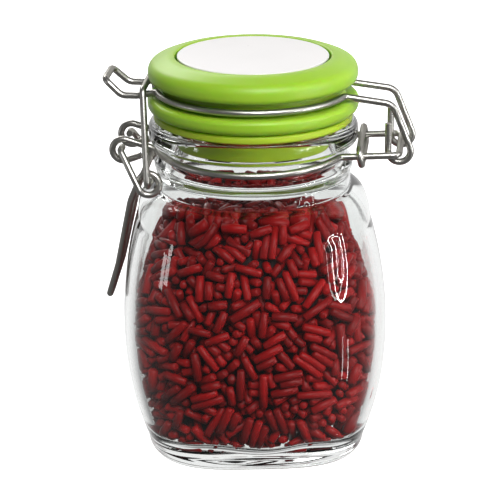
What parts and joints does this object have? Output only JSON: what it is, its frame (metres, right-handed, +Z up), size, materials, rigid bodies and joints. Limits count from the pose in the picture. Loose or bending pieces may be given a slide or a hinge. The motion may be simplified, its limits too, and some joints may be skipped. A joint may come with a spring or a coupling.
{
  "type": "clip-top spice jar",
  "caption": "Small glass storage jar full of red sugar strands, with a moulded lid hinged on a wire bail that a lever pulls shut.",
  "frame": {"origin": "centre of the jar's foot, on the surface it stands on", "axes": "+Z up along the jar's axis, +X towards the lid's hinge, -X towards the lever, -Y towards the viewer in the picture"},
  "size_m": [0.0695, 0.0602, 0.0897],
  "materials": {
    "glass": "clear pressed soda-lime glass",
    "sugar": "dark red sugar strands with a dull sheen",
    "wire": "drawn steel wire, dull bright",
    "lid": "lime green moulded plastic, satin",
    "disc": "plain white moulded plastic, satin",
    "seal": "yellow-green silicone, matt"
  },
  "bodies": {
    "jar": {"glass_jar": "glass", "sprinkles": "sugar", "neck_wire": "wire", "hinge_clip": "wire"},
    "lid": {"lid_cover": "lid", "lid_disc": "disc", "seal_ring": "seal", "lid_wire": "wire"},
    "lever": {"lever_wire": "wire"},
    "link": {"link_wire": "wire"}
  },
  "joints": [
    {"name": "lid_hinge", "type": "hinge", "parent": "jar", "child": "lid", "pos_m": [0.0326, 0, 0.07], "axis": [0, 1, 0], "range_deg": [0, 110]},
    {"name": "lever_pivot", "type": "hinge", "parent": "jar", "child": "lever", "pos_m": [-0.0286, 0, 0.0694], "axis": [0, 1, 0], "range_deg": [0, 120]},
    {"name": "link_pivot", "type": "hinge", "parent": "lever", "child": "link", "pos_m": [-0.0219, 0, 0.063], "axis": [0, 1, 0], "range_deg": [-150, 20], "deforming": ["link_wire"]}
  ],
  "couplings": [
    {"joint": "link_pivot", "follows": "lever_pivot", "ratio": -1}
  ]
}
